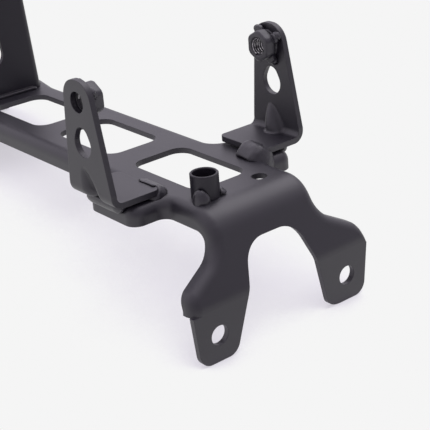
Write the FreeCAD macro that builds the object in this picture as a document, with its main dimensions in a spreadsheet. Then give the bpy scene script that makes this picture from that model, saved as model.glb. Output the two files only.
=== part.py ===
import FreeCAD, Part
import math
import os

# Headlight mounting bracket: a powder-coated steel weldment. One pressed sheet
# bridges from the yoke to the two bolt ears, two bent tabs carry the lamp, and a
# channel-shaped upright stands at the rear. X runs across the motorbike, -Y points
# ahead, +Z is up. The origin lies on the upper face of the bridge sheet, midway
# between the tabs and under the line through their two bolt holes.

V = FreeCAD.Vector
doc = FreeCAD.newDocument("headlight_mounting_bracket")

# Driving dimensions, in millimetres and degrees.
SIZES = {
    "sheet_thick": 2.6,
    "roll_radius": 5.0,
    "rail_half": 27.2,
    "neck_half": 28.0,
    "neck_low": 16.4,
    "neck_round": 12.5,
    "flange_deep": 8.8,
    "leg_flange": 6.4,
    "lobe_half": 44.7,
    "lobe_front": 19.2,
    "lobe_rear": 14.4,
    "lobe_corner": 5.6,
    "lobe_round": 7.0,
    "flare_start": 150.0,
    "flare_long": 19.0,
    "flare_round": 25.0,
    "rear_half": 31.0,
    "rear_end": 220.0,
    "rear_drop": 26.9,
    "rear_bend": 12.0,
    "bend_start": 36.5,
    "bend_radius": 15.0,
    "bend_angle": 67.0,
    "knee_radius": 10.0,
    "ear_face": 59.9,
    "ear_spacing": 72.0,
    "ear_drop": 46.1,
    "ear_hole": 8.8,
    "ear_below": 11.8,
    "ear_outer_top": 12.6,
    "ear_outer_foot": 10.2,
    "ear_corner": 6.0,
    "shoulder_half": 48.0,
    "shoulder_low": 27.1,
    "shoulder_round": 7.0,
    "shoulder_flare": 2.0,
    "flange_end": 34.4,
    "arch_top": 14.6,
    "arch_half": 13.2,
    "arch_slope": 0.33,
    "arch_round": 12.0,
    "window_half": 14.8,
    "window_corner": 7.0,
    "window_front": 23.8,
    "front_window": 47.5,
    "mid_window": 46.1,
    "rear_window": 46.1,
    "front_web": 15.3,
    "rear_web": 13.5,
    "drain_hole": 7.0,
    "drain_across": 13.6,
    "drain_ahead": 31.6,
    "tube_outer": 12.2,
    "tube_bore": 9.9,
    "tube_high": 10.7,
    "tube_rim": 0.3,
    "tube_across": 15.4,
    "tube_ahead": 30.9,
    "tab_half": 52.9,
    "tab_thick": 2.6,
    "tab_gap": 1.2,
    "tab_bend": 5.4,
    "tab_straight": 1.0,
    "tab_reach": 24.4,
    "tab_front": 17.5,
    "tab_rear": 12.8,
    "tab_high": 53.7,
    "tab_top_front": 8.2,
    "tab_top_rear": 8.7,
    "tab_top_round": 8.8,
    "tab_corner": 3.0,
    "bolt_high": 44.3,
    "bolt_hole": 9.0,
    "slot_low": 26.5,
    "slot_high": 29.3,
    "slot_low_round": 5.8,
    "slot_high_round": 4.5,
    "slot_ahead": 0.8,
    "dart_high": 16.0,
    "dart_foot": 5.4,
    "dart_foot_ahead": 3.2,
    "dart_apex_ahead": -1.0,
    "dart_foot_round": 4.5,
    "dart_apex_round": 3.6,
    "dart_blend": 2.0,
    "dart_lip": 3.8,
    "nut_flats": 13.0,
    "nut_corner": 3.2,
    "nut_long": 6.6,
    "nut_gap": 1.8,
    "nut_collar": 11.2,
    "nut_lug": 2.4,
    "nut_lug_reach": 6.7,
    "nut_lug_off": 0.6,
    "nut_lug_long": 2.2,
    "nut_bore": 6.8,
    "nut_mouth": 8.6,
    "nut_rim": 0.8,
    "upright_front": 154.4,
    "upright_thick": 2.6,
    "upright_foot": 22.3,
    "upright_head": 17.1,
    "upright_high": 72.0,
    "upright_deep": 9.0,
    "upright_roll": 4.0,
    "upright_corner": 8.0,
    "upright_slot_across": 4.8,
    "upright_slot_low": 23.4,
    "upright_slot_high": 32.0,
    "upright_slot_round": 6.2,
    "upright_slot_top": 5.1,
    "left_inner_bead": 5.0,
    "left_inner_bead_long": 9.0,
    "left_inner_bead_ahead": 8.5,
    "left_inner_bead_sink": 1.0,
    "right_inner_bead": 6.6,
    "right_inner_bead_long": 7.0,
    "right_inner_bead_ahead": 11.0,
    "right_inner_bead_sink": 2.2,
    "outer_bead": 3.6,
    "outer_bead_long": 18.0,
    "outer_bead_ahead": 0.9,
    "outer_bead_sink": 0.6,
    "tube_front_bead": 4.7,
    "tube_front_bead_from": 218.0,
    "tube_front_bead_sweep": 5.0,
    "tube_rear_bead": 2.9,
    "tube_rear_bead_from": 341.0,
    "tube_rear_bead_sweep": 36.0,
    "nut_bead": 0.9,
    "foot_bead": 2.2,
}

sheet = doc.addObject("Spreadsheet::Sheet", "sizes")
for row, (alias, value) in enumerate(SIZES.items(), start=1):
    sheet.set(f"A{row}", alias)
    sheet.set(f"B{row}", str(value))
    sheet.setAlias(f"B{row}", alias)
doc.recompute()


def size(alias):
    """A driving dimension, read from the sheet."""
    return float(sheet.get(alias))


def corner_arc(before, corner, after, radius):
    """Points where a rounded corner starts, swings through and ends."""
    back = (before - corner).normalize()
    ahead = (after - corner).normalize()
    half = back.getAngle(ahead) / 2
    run = radius / math.tan(half)
    inward = (back + ahead).normalize()
    middle = corner + inward * (radius / math.sin(half) - radius)
    return corner + back * run, middle, corner + ahead * run


def rounded_loop(corners):
    """Lines and arcs round a polygon of (across, along, radius) corners."""
    points = [V(across, along, 0) for across, along, _ in corners]
    count = len(points)
    starts, ends, shapes = [], [], []
    for index, (_, _, radius) in enumerate(corners):
        here = points[index]
        if radius > 0:
            first, middle, last = corner_arc(points[index - 1], here, points[(index + 1) % count], radius)
            shapes.append(Part.Arc(first, middle, last))
        else:
            first = last = here
        starts.append(first)
        ends.append(last)
    for index in range(count):
        following = starts[(index + 1) % count]
        if (following - ends[index]).Length > 1e-6:
            shapes.append(Part.LineSegment(ends[index], following))
    return shapes


def mirrored(corners):
    """The same polygon on the other side of the middle plane."""
    return [(-across, along, radius) for across, along, radius in reversed(corners)]


def new_body(label):
    """An empty body whose label names its file."""
    body = doc.addObject("PartDesign::Body", label)
    body.Label = label
    return body


def plane_of(body, role):
    """One of the body's own origin planes, by its role."""
    return [item for item in body.Origin.OriginFeatures if item.Role == role][0]


def new_sketch(body, name, plane, offset=0.0):
    """A sketch on one of the body's own origin planes, moved along its normal."""
    sketch = body.newObject("Sketcher::SketchObject", name)
    sketch.AttachmentSupport = [(plane_of(body, plane), "")]
    sketch.MapMode = "FlatFace"
    sketch.AttachmentOffset = FreeCAD.Placement(V(0, 0, offset), FreeCAD.Rotation())
    return sketch


def add_loops(sketch, *loops):
    """Draw rounded polygons in a sketch."""
    for corners in loops:
        for shape in rounded_loop(corners):
            sketch.addGeometry(shape, False)


def add_circle(sketch, across, along, radius):
    """Draw one circle in a sketch."""
    sketch.addGeometry(Part.Circle(V(across, along, 0), V(0, 0, 1), radius), False)


def bind(item, **expressions):
    """Tie properties of an object to cells of the sheet."""
    for name, expression in expressions.items():
        item.setExpression(name, expression)


def pad(body, sketch, name, length, side="One side", reverse=False):
    """Add the sketch's area, with its length given as an expression."""
    feature = body.newObject("PartDesign::Pad", name)
    feature.Profile = sketch
    feature.SideType = side
    feature.Reversed = reverse
    bind(feature, Length=length)
    doc.recompute()
    return feature


def pocket(body, sketch, name, length, side="One side", reverse=False):
    """Cut the sketch's area away, and stop if nothing was cut."""
    before = body.Shape.Volume
    feature = body.newObject("PartDesign::Pocket", name)
    feature.Profile = sketch
    feature.SideType = side
    feature.Reversed = reverse
    bind(feature, Length=length)
    doc.recompute()
    if body.Shape.Volume >= before - 1e-6:
        raise RuntimeError(f"{body.Label}: {name} cuts nothing")
    return feature


def edge_names(body, chosen):
    """Names of the body's edges that a test picks."""
    return [f"Edge{n}" for n, edge in enumerate(body.Shape.Edges, start=1) if chosen(edge)]


def face_names(body, chosen):
    """Names of the body's faces that a test picks."""
    return [f"Face{n}" for n, face in enumerate(body.Shape.Faces, start=1) if chosen(face)]


def dress(body, kind, name, names, **expressions):
    """Fillet, chamfer or shell the named edges or faces of the body's tip."""
    tip = body.Tip
    feature = body.newObject(f"PartDesign::{kind}", name)
    feature.Base = (tip, names)
    bind(feature, **expressions)
    doc.recompute()
    return feature


def face_middle(face):
    """A point and the normal in the middle of a face."""
    low_u, high_u, low_v, high_v = face.ParameterRange
    u, v = (low_u + high_u) / 2, (low_v + high_v) / 2
    return face.valueAt(u, v), face.normalAt(u, v)


def inset_path(corners, inset, side=1):
    """An open path moved in by an inset, with the area on its left (side 1) or right (side -1)."""
    points = [V(across, along, 0) for across, along, _ in corners]
    runs = [(ahead - here).normalize() for here, ahead in zip(points, points[1:])]
    normals = [V(-run.y, run.x, 0) * side for run in runs]
    moved = []
    for index, (point, (_, _, radius)) in enumerate(zip(points, corners)):
        first = normals[max(index - 1, 0)]
        last = normals[min(index, len(normals) - 1)]
        place = point + (first + last) * (inset / (1 + first.dot(last)))
        if radius > 0:
            outward = runs[index - 1].cross(runs[index]).z * side > 0
            radius += -inset if outward else inset
        moved.append((place.x, place.y, radius))
    return moved


# Places worked out from the driving dimensions. CLEAR is how far a cutting outline
# runs past the part, NECK_CUT is where the outline seen from ahead takes over from the
# one seen from above, and BROW is where the top and the leaning front would meet.
SAME = 1e-6
NEAR = 1e-3
CLEAR = 10.0
OUTSIDE = size("lobe_half") + 2 * CLEAR
EAR_LOW = -size("ear_drop") - size("ear_below")
BELOW = EAR_LOW - 2 * CLEAR
NECK_CUT = size("lobe_front") + size("roll_radius") + 2
BEND = math.radians(size("bend_angle"))
BROW = -size("bend_start") - size("bend_radius") * math.tan(BEND / 2)
EAR_TRIM = 3.0
NUT_CORNERS = (30, 90, 150, 210, 270, 330)
NUT_LUGS = (60, 150, 240, 330)
DART_OVER = 1.5
HOLLOW_INSET = 1.4


# Bridge sheet. Paths are lists of (across, along, radius) corners.


def lean_height(along, inset=0.0):
    """Height of the leaning front at a place along, moved in by an inset."""
    return -(BROW - along) * math.tan(BEND) - inset / math.cos(BEND)


def skin_path():
    """Side view of the outer skin, from the rear edge over the top to the flange ends."""
    front, rear = -size("ear_face"), size("rear_end")
    return [
        (rear, -size("rear_drop"), 0),
        (rear, 0, size("rear_bend")),
        (BROW, 0, size("bend_radius")),
        (front, lean_height(front), size("knee_radius")),
        (front, -size("flange_end"), 0),
    ]


def flange_path():
    """Side view of the free edge of the flanges, from the rear round to the front."""
    deep, leg = size("flange_deep"), size("leg_flange")
    front, rear = -size("ear_face") + leg, size("rear_end") - deep
    brow = BROW + (leg / math.cos(BEND) - deep) / math.tan(BEND)
    return [
        (rear, BELOW, 0),
        (rear, -deep, size("rear_bend") - deep),
        (brow, -deep, size("bend_radius") - deep),
        (front, lean_height(front, leg), size("knee_radius") - leg),
        (front, BELOW, 0),
    ]


def plan_path():
    """Right-hand side of the bridge sheet seen from above, front to rear."""
    neck, lobe, rail = size("neck_half"), size("lobe_half"), size("rail_half")
    wide = size("rear_half")
    flare = size("flare_start")
    return [
        (neck, -NECK_CUT, 0),
        (neck, -size("lobe_front"), size("roll_radius")),
        (lobe, -size("lobe_front"), size("lobe_corner")),
        (lobe, size("lobe_rear"), size("lobe_corner")),
        (rail, size("lobe_rear"), size("lobe_round")),
        (rail, flare, size("flare_round")),
        (wide, flare + size("flare_long"), size("flare_round")),
        (wide, size("rear_end") + CLEAR, 0),
    ]


def leg_path():
    """Right-hand side of the bridge sheet seen from ahead, top to flange end."""
    neck, shoulder, low = size("neck_half"), size("shoulder_half"), size("flange_end")
    return [
        (neck, CLEAR, 0),
        (neck, -size("neck_low"), size("neck_round")),
        (shoulder, -size("shoulder_low"), size("shoulder_round")),
        (shoulder + size("shoulder_flare"), -low - CLEAR, 0),
    ]


def beside(path):
    """The area outside a right-hand path, as a closed polygon."""
    return path + [(OUTSIDE, path[-1][1], 0), (OUTSIDE, path[0][1], 0)]


def press_block(label, inset):
    """The solid under the bridge sheet's skin, moved in by an inset and rolled at its rim."""
    body = new_body(label)
    skin = inset_path(skin_path(), inset)
    side = new_sketch(body, label + "_side", "YZ_Plane")
    add_loops(side, skin + [(0, -size("flange_end"), 0)])
    pad(body, side, label + "_pad", f"2 * (sizes.lobe_half + {CLEAR})", side="Symmetric")
    plan = new_sketch(body, label + "_plan", "XY_Plane", CLEAR)
    plan_side = beside(inset_path(plan_path(), inset))
    add_loops(plan, plan_side, mirrored(plan_side))
    pocket(body, plan, label + "_plan_cut", f"sizes.ear_drop + sizes.ear_below + {2 * CLEAR}")
    legs = new_sketch(body, label + "_legs", "XZ_Plane", size("ear_face") + CLEAR)
    leg_side = beside(inset_path(leg_path(), inset, side=-1))
    add_loops(legs, leg_side, mirrored(leg_side))
    pocket(body, legs, label + "_leg_cut", f"sizes.ear_face + {CLEAR - NECK_CUT}")
    rim = rim_edges(body, skin)
    dress(body, "Fillet", label + "_roll", rim, Radius=f"sizes.roll_radius - {inset}")
    return body


def path_wire(path):
    """A path in the side view as a wire in the middle plane."""
    points = [V(0, along, up) for along, up, _ in path]
    pieces, start = [], points[0]
    for index in range(1, len(points) - 1):
        first, middle, last = corner_arc(*points[index - 1:index + 2], path[index][2])
        pieces += [Part.LineSegment(start, first).toShape(), Part.Arc(first, middle, last).toShape()]
        start = last
    pieces.append(Part.LineSegment(start, points[-1]).toShape())
    return Part.Wire(pieces)


def rim_edges(body, skin):
    """Names of the edges where the skin meets the side walls, without its two ends."""
    wire = path_wire(skin)
    ends = [V(0, skin[0][0], skin[0][1]), V(0, skin[-1][0], skin[-1][1])]

    def on_skin(point):
        return Part.Vertex(V(0, point.y, point.z)).distToShape(wire)[0] < NEAR

    def is_skin(face):
        point, normal = face_middle(face)
        return abs(normal.x) < 0.1 and on_skin(point) and all(on_skin(v.Point) for v in face.Vertexes)

    skin_edges = [edge for face in body.Shape.Faces if is_skin(face) for edge in face.Edges]

    def at_end(edge):
        return any(all((V(0, v.Y, v.Z) - end).Length < SAME for v in edge.Vertexes) for end in ends)

    def is_rim(edge):
        owners = sum(1 for other in skin_edges if other.isSame(edge))
        return owners == 1 and not at_end(edge)

    return edge_names(body, is_rim)


def arch_half(up):
    """Half the width of the arch at a height."""
    return size("arch_half") - (up + size("arch_top")) * size("arch_slope")


def build_bridge():
    """The pressed bridge sheet, with its flanges, legs, ears, windows and holes."""
    body = press_block("bridge_plate", 0.0)
    core = press_block("bridge_core", size("sheet_thick"))
    hollow = body.newObject("PartDesign::Boolean", "hollow")
    hollow.Type = "Cut"
    hollow.addObject(core)
    doc.recompute()
    under = new_sketch(body, "under_side", "YZ_Plane")
    add_loops(under, flange_path())
    pocket(body, under, "trim_flanges", f"2 * (sizes.lobe_half + {CLEAR})", side="Symmetric")
    add_ears(body)
    cut_arch(body)
    cut_windows(body)
    round_ears(body)
    return body


def add_ears(body):
    """Two flat ears below the flange ends, wide enough for the arch to trim."""
    top, middle = -size("flange_end"), size("ear_spacing") / 2
    inner = arch_half(top) - EAR_TRIM
    ear = [
        (inner, top, 0),
        (middle + size("ear_outer_top"), top, 0),
        (middle + size("ear_outer_foot"), EAR_LOW, 0),
        (inner, EAR_LOW, 0),
    ]
    sketch = new_sketch(body, "ear_outline", "XZ_Plane", size("ear_face"))
    add_loops(sketch, ear, mirrored(ear))
    pad(body, sketch, "ears", "sizes.sheet_thick", reverse=True)


def cut_arch(body):
    """The arch between the legs and the two bolt holes."""
    top, low = -size("arch_top"), EAR_LOW - CLEAR
    side = [(arch_half(low), low, 0), (arch_half(top), top, size("arch_round"))]
    arch = new_sketch(body, "arch_outline", "XZ_Plane", size("ear_face") + CLEAR)
    add_loops(arch, side + mirrored(side))
    for sign in (-1, 1):
        add_circle(arch, sign * size("ear_spacing") / 2, -size("ear_drop"), size("ear_hole") / 2)
    pocket(body, arch, "arch", f"sizes.ear_face + {CLEAR}")


def cut_windows(body):
    """Three windows in a row, and the round hole beside the tube."""
    half, corner = size("window_half"), size("window_corner")
    loops, front = [], -size("window_front")
    for long, web in (("front_window", "front_web"), ("mid_window", "rear_web"), ("rear_window", None)):
        rear = front + size(long)
        right = [(half, front, corner), (half, rear, corner)]
        loops.append(right + mirrored(right))
        front = rear + size(web) if web else rear
    sketch = new_sketch(body, "window_outlines", "XY_Plane", CLEAR)
    add_loops(sketch, *loops)
    add_circle(sketch, size("drain_across"), -size("drain_ahead"), size("drain_hole") / 2)
    pocket(body, sketch, "windows", f"{CLEAR} + 2 * sizes.sheet_thick")


def round_ears(body):
    """Round the lower corners of the ears."""
    def is_corner(edge):
        if len(edge.Vertexes) < 2:
            return False
        first, last = edge.Vertexes[0], edge.Vertexes[-1]
        along = abs(first.X - last.X) < SAME and abs(first.Z - last.Z) < SAME
        return along and abs(first.Z - EAR_LOW) < SAME

    dress(body, "Fillet", "ear_rounds", edge_names(body, is_corner), Radius="sizes.ear_corner")


def build_tab(label, side):
    """One lamp tab: a tapered upright and a base flange, with a pressed dart in its bend."""
    body = new_body(label)
    outer, thick, gap = size("tab_half"), size("tab_thick"), size("tab_gap")
    inner, seat, end = outer - thick, gap + thick, outer - size("tab_reach")
    section = [
        (side * outer, size("tab_high"), 0),
        (side * outer, gap, size("tab_bend")),
        (side * end, gap, 0),
        (side * end, seat, 0),
        (side * inner, seat, size("tab_bend") - thick),
        (side * inner, size("tab_high"), 0),
    ]
    front, rear = size("tab_front"), size("tab_rear")
    angle = new_sketch(body, label + "_section", "XZ_Plane", front)
    add_loops(angle, section)
    pad(body, angle, label + "_angle", "sizes.tab_front + sizes.tab_rear", reverse=True)
    top, low = size("tab_high"), gap + size("tab_bend") + size("tab_straight")
    head_front, head_rear = size("tab_top_front"), size("tab_top_rear")
    outline = new_sketch(body, label + "_taper", "YZ_Plane", side * outer)
    add_loops(outline, [
        (-front, low, 0),
        (-head_front, top, size("tab_top_round")),
        (head_rear, top, size("tab_top_round")),
        (rear, low, 0),
        (rear + CLEAR, low, 0),
        (rear + CLEAR, top + CLEAR, 0),
        (-front - CLEAR, top + CLEAR, 0),
        (-front - CLEAR, low, 0),
    ])
    pocket(body, outline, label + "_taper_cut", "2 * sizes.tab_thick", side="Symmetric")
    holes = new_sketch(body, label + "_holes", "YZ_Plane", side * outer)
    add_circle(holes, 0, size("bolt_high"), size("bolt_hole") / 2)
    ends = [size(f"slot_{name}") for name in ("low", "high", "low_round", "high_round")]
    add_slot(holes, -size("slot_ahead"), *ends)
    pocket(body, holes, label + "_hole_cut", "4 * sizes.tab_thick", side="Symmetric")

    def is_corner(edge):
        return abs(abs(edge.CenterOfMass.x) - end) < SAME and abs(edge.Length - thick) < SAME

    dress(body, "Fillet", label + "_corners", edge_names(body, is_corner), Radius="sizes.tab_corner")
    add_dart(body, label, side)
    return body


def add_slot(sketch, middle, low, high, big, small):
    """A drop-shaped slot: two circles of different size joined by tangent lines."""
    lean = math.asin((big - small) / (high - low))
    ends = []
    for sign in (1, -1):
        across, rise = sign * math.cos(lean), math.sin(lean)
        ends.append([V(middle + across * r, up + rise * r, 0) for up, r in ((low, big), (high, small))])
    right, left = ends
    sketch.addGeometry(Part.LineSegment(right[0], right[1]), False)
    sketch.addGeometry(Part.Arc(right[1], V(middle, high + small, 0), left[1]), False)
    sketch.addGeometry(Part.LineSegment(left[1], left[0]), False)
    sketch.addGeometry(Part.Arc(left[0], V(middle, low - big, 0), right[0]), False)


def dart_section(body, name, side, up, crest, round_radius, back):
    """A U-shaped section of the dart at one height, its nose towards the middle of the part."""
    foot, high = size("tab_gap") + size("tab_thick"), size("dart_high")
    share = (up - foot) / (high - foot)
    middle = -size("dart_foot_ahead") + share * (size("dart_foot_ahead") - size("dart_apex_ahead"))
    sketch = new_sketch(body, name, "XY_Plane", up)
    nose = side * (crest + round_radius)
    near, far = V(nose, middle - round_radius, 0), V(nose, middle + round_radius, 0)
    tip = V(side * crest, middle, 0)
    back_near, back_far = V(side * back, near.y, 0), V(side * back, far.y, 0)
    sketch.addGeometry(Part.Arc(near, tip, far), False)
    sketch.addGeometry(Part.LineSegment(far, back_far), False)
    sketch.addGeometry(Part.LineSegment(back_far, back_near), False)
    sketch.addGeometry(Part.LineSegment(back_near, near), False)
    return sketch


def add_loft(body, name, kind, lower, upper):
    """A ruled loft between two sections."""
    loft = body.newObject(f"PartDesign::{kind}", name)
    loft.Profile = lower
    loft.Sections = [upper]
    loft.Ruled = True
    doc.recompute()
    return loft


def add_dart(body, label, side):
    """The pressed dart across the bend: a bulge on the inside and a hollow on the outside."""
    outer, thick, gap = size("tab_half"), size("tab_thick"), size("tab_gap")
    foot, high = gap + thick, size("dart_high")
    slope = size("dart_foot") / (high - foot)
    low, top = gap + thick / 2, high + DART_OVER

    def crest(up, face):
        return face - (high - up) * slope

    def round_at(up, inset):
        share = (up - foot) / (high - foot)
        wide = size("dart_foot_round") + share * (size("dart_apex_round") - size("dart_foot_round"))
        return wide - inset

    def sections(kind, face, inset, heights):
        made = []
        for place, up in enumerate(heights):
            name, back = f"{label}_{kind}_{place}", outer + CLEAR
            made.append(dart_section(body, name, side, up, crest(up, face), round_at(up, inset), back))
        return made

    add_loft(body, label + "_bulge", "AdditiveLoft", *sections("bulge", outer - thick, 0, (low, top)))
    beyond = new_sketch(body, label + "_beyond", "XZ_Plane", 2 * CLEAR)
    within, far = outer - size("tab_reach") / 2, outer + 2 * CLEAR
    add_loops(beyond, [
        (side * outer, 2 * high, 0),
        (side * outer, gap, size("tab_bend")),
        (side * within, gap, 0),
        (side * within, -CLEAR, 0),
        (side * far, -CLEAR, 0),
        (side * far, 2 * high, 0),
    ])
    pocket(body, beyond, label + "_outside_cut", f"{4 * CLEAR}")
    hollow = sections("hollow", outer, HOLLOW_INSET, (gap - DART_OVER, top))
    add_loft(body, label + "_hollow", "SubtractiveLoft", *hollow)
    for name, inset, blend in (("lip", 0, "dart_lip"), ("blend", thick, "dart_blend")):
        rim = edge_names(body, lambda edge: is_dart_rim(edge, side, inset))
        dress(body, "Fillet", f"{label}_dart_{name}", rim, Radius=f"sizes.{blend}")


def is_dart_rim(edge, side, inset):
    """Whether a curved edge lies on the tab's bent skin, moved in by an inset."""
    if type(edge.Curve).__name__ != "BSplineCurve":
        return False
    middle_x, middle_z = size("tab_half") - size("tab_bend"), size("tab_gap") + size("tab_bend")

    def off_skin(point):
        across, up = side * point.x - middle_x, point.z - middle_z
        if up > 0:
            return across - size("tab_bend") + inset
        if across < 0:
            return -up - size("tab_bend") + inset
        return math.hypot(across, up) - size("tab_bend") + inset

    span = edge.LastParameter - edge.FirstParameter
    points = [edge.valueAt(edge.FirstParameter + span * share / 4) for share in range(5)]
    return all(abs(off_skin(point)) < NEAR for point in points)


def ring_of(reach, high, radius, angles):
    """Corners at one distance from the bolt's axis, at angles in degrees."""
    turns = [math.radians(angle) for angle in angles]
    return [(reach * math.cos(turn), high + reach * math.sin(turn), radius) for turn in turns]


def build_nut(label, side):
    """One hexagonal weld nut that stands off the inner face of a tab on a collar and lugs."""
    body = new_body(label)
    face, high = side * (size("tab_half") - size("tab_thick")), size("bolt_high")
    collar = new_sketch(body, f"{label}_collar_circle", "YZ_Plane", face)
    add_circle(collar, 0, high, size("nut_collar") / 2)
    pad(body, collar, f"{label}_collar", "sizes.nut_long", reverse=side > 0)
    barrel = new_sketch(body, f"{label}_hexagon", "YZ_Plane", face - side * size("nut_gap"))
    add_loops(barrel, ring_of(size("nut_flats") / math.sqrt(3), high, size("nut_corner"), NUT_CORNERS))
    pad(body, barrel, f"{label}_barrel", "sizes.nut_long - sizes.nut_gap", reverse=side > 0)
    lugs = new_sketch(body, f"{label}_lug_circles", "YZ_Plane", face - side * size("nut_lug_off"))
    for across, up, _ in ring_of(size("nut_lug_reach"), high, 0, NUT_LUGS):
        add_circle(lugs, across, up, size("nut_lug"))
    pad(body, lugs, f"{label}_lugs", "sizes.nut_lug_long", reverse=side > 0)
    bore = new_sketch(body, f"{label}_bore_circle", "YZ_Plane", face)
    add_circle(bore, 0, high, size("nut_bore") / 2)
    pocket(body, bore, f"{label}_bore", "3 * sizes.nut_long", side="Symmetric")
    end = face - side * size("nut_long")

    def end_edges(in_bore):
        def is_chosen(edge):
            return abs(edge.CenterOfMass.x - end) < SAME and edge.isClosed() == in_bore

        return edge_names(body, is_chosen)

    mouth = "(sizes.nut_mouth - sizes.nut_bore) / 2"
    dress(body, "Chamfer", f"{label}_rim", end_edges(False), Size="sizes.nut_rim")
    dress(body, "Chamfer", f"{label}_mouth", end_edges(True), Size=mouth)
    return body


def build_tube():
    """The short locating tube that stands on the sheet beside the round hole."""
    body = new_body("locating_tube")
    ring = new_sketch(body, "tube_ring", "XY_Plane")
    for diameter in ("tube_outer", "tube_bore"):
        add_circle(ring, -size("tube_across"), -size("tube_ahead"), size(diameter) / 2)
    pad(body, ring, "tube_wall", "sizes.tube_high")
    top = edge_names(body, lambda e: all(abs(v.Z - size("tube_high")) < SAME for v in e.Vertexes))
    dress(body, "Chamfer", "tube_rim", top, Size="sizes.tube_rim")
    return body


def build_upright():
    """The rear upright: a tapered channel that faces ahead and stands on the sheet."""
    body = new_body("rear_upright")
    foot, head, high = size("upright_foot"), size("upright_head"), size("upright_high")
    outline = new_sketch(body, "upright_outline", "XZ_Plane", -size("upright_front"))
    side = [(foot, 0, 0), (head, high, size("upright_corner"))]
    add_loops(outline, side + mirrored(side))
    pad(body, outline, "upright_block", "sizes.upright_deep", reverse=True)

    front = size("upright_front")

    def is_rim(edge):
        flat = all(abs(v.Y - front) < SAME for v in edge.Vertexes)
        return flat and not all(abs(v.Z) < SAME for v in edge.Vertexes)

    dress(body, "Fillet", "upright_roll", edge_names(body, is_rim), Radius="sizes.upright_roll")

    def is_open(face):
        point, normal = face_middle(face)
        at_back = abs(abs(normal.y) - 1) < SAME and point.y > front + size("upright_thick")
        at_foot = abs(abs(normal.z) - 1) < SAME and point.z < SAME
        return at_back or at_foot

    dress(body, "Thickness", "upright_walls", face_names(body, is_open), Value="sizes.upright_thick")
    slot = new_sketch(body, "upright_slot", "XZ_Plane", -size("upright_front"))
    ends = [size(f"upright_slot_{name}") for name in ("low", "high", "round", "top")]
    add_slot(slot, -size("upright_slot_across"), *ends)
    pocket(body, slot, "upright_slot_cut", "3 * sizes.upright_thick", side="Symmetric")
    return body


def bead(label, points, radius, neighbours):
    """A weld bead: balls joined by round rods, cut back to the faces that it joins."""
    solids = []
    for place, point in enumerate(points):
        ball = doc.addObject("Part::Sphere", f"{label}_ball_{place}")
        bind(ball, Radius=radius)
        ball.Placement.Base = point
        solids.append(ball)
    for place, (first, last) in enumerate(zip(points, points[1:])):
        rod = doc.addObject("Part::Cylinder", f"{label}_rod_{place}")
        bind(rod, Radius=radius)
        rod.Height = (last - first).Length
        rod.Placement = FreeCAD.Placement(first, FreeCAD.Rotation(V(0, 0, 1), last - first))
        solids.append(rod)
    row = doc.addObject("Part::MultiFuse", label + "_row")
    row.Shapes = solids
    return cut_back(label, row, neighbours)


def cut_back(label, solid, neighbours):
    """Cut a solid back to its neighbours, one after another."""
    for place, neighbour in enumerate(neighbours):
        cut = doc.addObject("Part::Cut", f"{label}_cut_{place}")
        cut.Base, cut.Tool = solid, neighbour
        solid = cut
    solid.Label = label
    doc.recompute()
    return solid


def tab_beads(name, side, tab, blank):
    """The two beads that hold one tab: at its inner end and under its bend."""
    end = side * (size("tab_half") - size("tab_reach"))
    middle, half = -size(f"{name}_inner_bead_ahead"), size(f"{name}_inner_bead_long") / 2
    low = -size(f"{name}_inner_bead_sink")
    inner = [V(end, middle + half, low), V(end, middle - half, low)]
    across, low = side * size("lobe_half"), -size("outer_bead_sink")
    middle, half = -size("outer_bead_ahead"), size("outer_bead_long") / 2
    outer = [V(across, middle + half, low), V(across, middle - half, low)]
    return [
        bead(f"{name}_inner_weld", inner, f"sizes.{name}_inner_bead", [tab, blank]),
        bead(f"{name}_outer_weld", outer, "sizes.outer_bead", [tab, blank]),
    ]


def tube_beads(blank):
    """Two short beads on opposite sides of the tube."""
    middle, reach = V(-size("tube_across"), -size("tube_ahead"), 0), size("tube_outer") / 2
    post = doc.addObject("Part::Cylinder", "tube_post")
    post.Placement.Base = middle - V(0, 0, size("tube_high"))
    bind(post, Radius="sizes.tube_outer / 2", Height="3 * sizes.tube_high")
    beads = []
    for name in ("front", "rear"):
        start, sweep = size(f"tube_{name}_bead_from"), size(f"tube_{name}_bead_sweep")
        angles = [math.radians(start), math.radians(start + sweep)]
        points = [middle + V(math.cos(angle) * reach, math.sin(angle) * reach, 0) for angle in angles]
        beads.append(bead(f"tube_{name}_weld", points, f"sizes.tube_{name}_bead", [post, blank]))
    return beads


def nut_bead(name, side, tab, nut):
    """The bead round the collar of a weld nut."""
    ring = doc.addObject("Part::Torus", f"{name}_nut_ring")
    bind(ring, Radius1="sizes.nut_collar / 2", Radius2="sizes.nut_bead")
    face = side * (size("tab_half") - size("tab_thick"))
    turn = FreeCAD.Rotation(V(0, 0, 1), V(1, 0, 0))
    ring.Placement = FreeCAD.Placement(V(face, 0, size("bolt_high")), turn)
    return cut_back(f"{name}_nut_weld", ring, [tab, nut])


def upright_beads(upright, blank):
    """The beads at the foot of the rear upright: one ahead and one on each side."""
    radius, foot = size("foot_bead"), size("upright_foot")
    front, roll = size("upright_front"), size("upright_roll")
    reach = foot - roll - radius
    ahead = [V(-reach, front, 0), V(reach, front, 0)]
    beads = [bead("upright_front_weld", ahead, "sizes.foot_bead", [upright, blank])]
    for name, side in (("left", -1), ("right", 1)):
        start, end = front + roll + radius, front + size("upright_deep") - radius
        points = [V(side * foot, start, 0), V(side * foot, end, 0)]
        beads.append(bead(f"upright_{name}_weld", points, "sizes.foot_bead", [upright, blank]))
    return beads


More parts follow.
